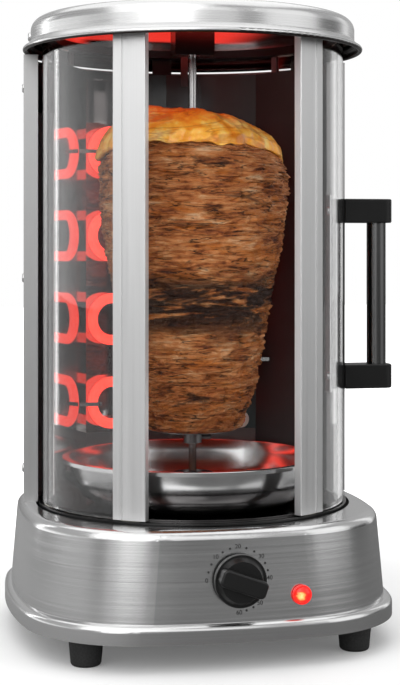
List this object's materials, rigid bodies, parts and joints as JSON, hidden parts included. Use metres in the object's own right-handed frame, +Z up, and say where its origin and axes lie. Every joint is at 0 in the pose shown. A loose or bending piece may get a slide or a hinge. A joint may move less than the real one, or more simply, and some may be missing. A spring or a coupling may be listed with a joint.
{
  "type": "vertical skewer grill",
  "caption": "Vertical electric skewer grill: round glass chamber with curved sliding doors, turning spit, drip tray, rear heater and a steel base with timer knob and lamp.",
  "frame": {"origin": "on the spit's axis at the height the feet stand on", "axes": "+Z up along the spit's axis, -Y to the front where the timer knob is, +X to the side that the door handle is on"},
  "size_m": [0.299, 0.3009, 0.46],
  "materials": {
    "brushed": "satin",
    "polished": "polished",
    "galvanised": "satin",
    "dark_steel": "satin",
    "aluminium": "satin",
    "casing": "satin",
    "glass": "polished",
    "black_plastic": "matte",
    "gloss_black": "gloss",
    "rubber": "matte",
    "lamp_red": "gloss",
    "nylon": "matte",
    "phenolic": "matte",
    "brass": "satin",
    "heater": "satin",
    "ceramic": "matte",
    "screw_steel": "satin",
    "bar_steel": "satin",
    "meat": "rough",
    "fat": "rough"
  },
  "bodies": {
    "base": {"base_housing": "brushed", "base_rim": "brushed", "bottom_plate": "galvanised", "base_screws": "screw_steel", "feet": "rubber", "foot_screws": "screw_steel", "foot_nuts": "screw_steel", "cord_gland": "black_plastic", "timer_body": "phenolic", "timer_nut": "screw_steel", "lamp_lens": "lamp_red", "lamp_body": "nylon", "terminal_block": "nylon", "thermal_cutout": "phenolic", "chassis_dish": "galvanised", "track_ring": "black_plastic", "cavity_floor": "dark_steel", "floor_bush": "brass", "gearbox": "galvanised", "motor": "galvanised", "motor_screws": "screw_steel", "side_post_left": "aluminium", "side_post_right": "aluminium", "rear_casing": "casing", "casing_screws": "screw_steel", "upper_ring": "dark_steel", "ring_hangers": "galvanised", "ceiling_pan": "dark_steel", "spit_bracket": "dark_steel", "spit_bush": "brass", "lid_cover": "brushed", "lid_screws": "screw_steel", "heater_element": "heater", "heater_insulators": "ceramic", "heater_clips": "polished", "reflector": "polished", "reflector_hanger": "galvanised"},
    "right_door": {"right_door_profile": "aluminium", "right_door_glass": "glass", "right_door_tail": "aluminium", "right_door_glides": "nylon", "handle_strip": "gloss_black", "handle_block_low": "gloss_black", "handle_block_high": "gloss_black", "handle_bar": "bar_steel", "handle_plate": "polished", "handle_screws": "screw_steel"},
    "left_door": {"left_door_profile": "aluminium", "left_door_glass": "glass", "left_door_tail": "aluminium", "left_door_glides": "nylon"},
    "spit": {"drive_shaft": "screw_steel", "drive_socket": "polished", "spit_rod": "polished", "spit_disc": "polished", "meat_stack": "meat", "fat_cap": "fat"},
    "knob": {"timer_knob": "black_plastic", "timer_shaft": "brass"},
    "tray": {"drip_tray": "polished"}
  },
  "joints": [
    {"name": "right_door_slide", "type": "hinge", "parent": "base", "child": "right_door", "pos_m": [0, 0, 0.27], "axis": [0, 0, 1], "range_deg": [-28.5, 0]},
    {"name": "left_door_slide", "type": "hinge", "parent": "base", "child": "left_door", "pos_m": [0, 0, 0.27], "axis": [0, 0, 1], "range_deg": [-50, 28.5]},
    {"name": "spit_spin", "type": "hinge", "parent": "base", "child": "spit", "pos_m": [0, 0, 0.27], "axis": [0, 0, 1], "continuous": true},
    {"name": "timer_turn", "type": "hinge", "parent": "base", "child": "knob", "pos_m": [0.0025, -0.1355, 0.0615], "axis": [0, 1, 0], "range_deg": [-200, 70]},
    {"name": "tray_lift", "type": "slide", "parent": "base", "child": "tray", "axis": [0, 0, 1], "range_m": [0, 0.008]}
  ]
}
